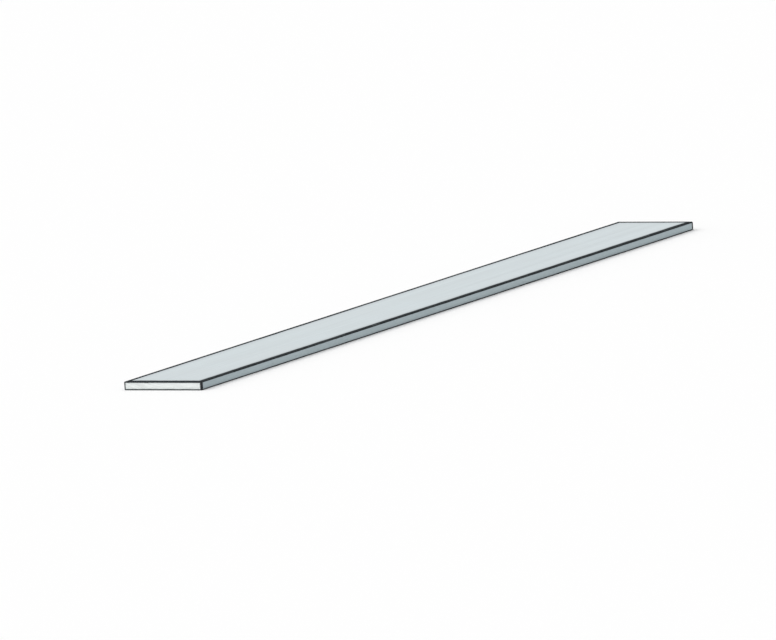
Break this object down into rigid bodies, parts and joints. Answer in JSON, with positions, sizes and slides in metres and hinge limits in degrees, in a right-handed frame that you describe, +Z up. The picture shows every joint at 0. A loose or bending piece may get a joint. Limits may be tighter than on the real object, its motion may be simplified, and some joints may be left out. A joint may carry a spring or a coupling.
{
  "type": "metal flat bar",
  "caption": "Straight flat bar of bright steel with a low rectangular section, slightly rounded long corners and square sawn ends, for framing, brackets and general fabrication.",
  "frame": {"origin": "under the middle of the bar, on the wide face that it lies on", "axes": "+X across the width, +Y along the length, away from the end that faces the viewer, +Z up through the thickness"},
  "size_m": [0.08, 1, 0.008],
  "materials": {
    "bright_steel": "satin steel with fine lengthwise lines, thin black scale left along every corner, bare and unpainted, with sawn ends"
  },
  "bodies": {
    "root": {"flat_bar": "bright_steel"}
  },
  "joints": []
}
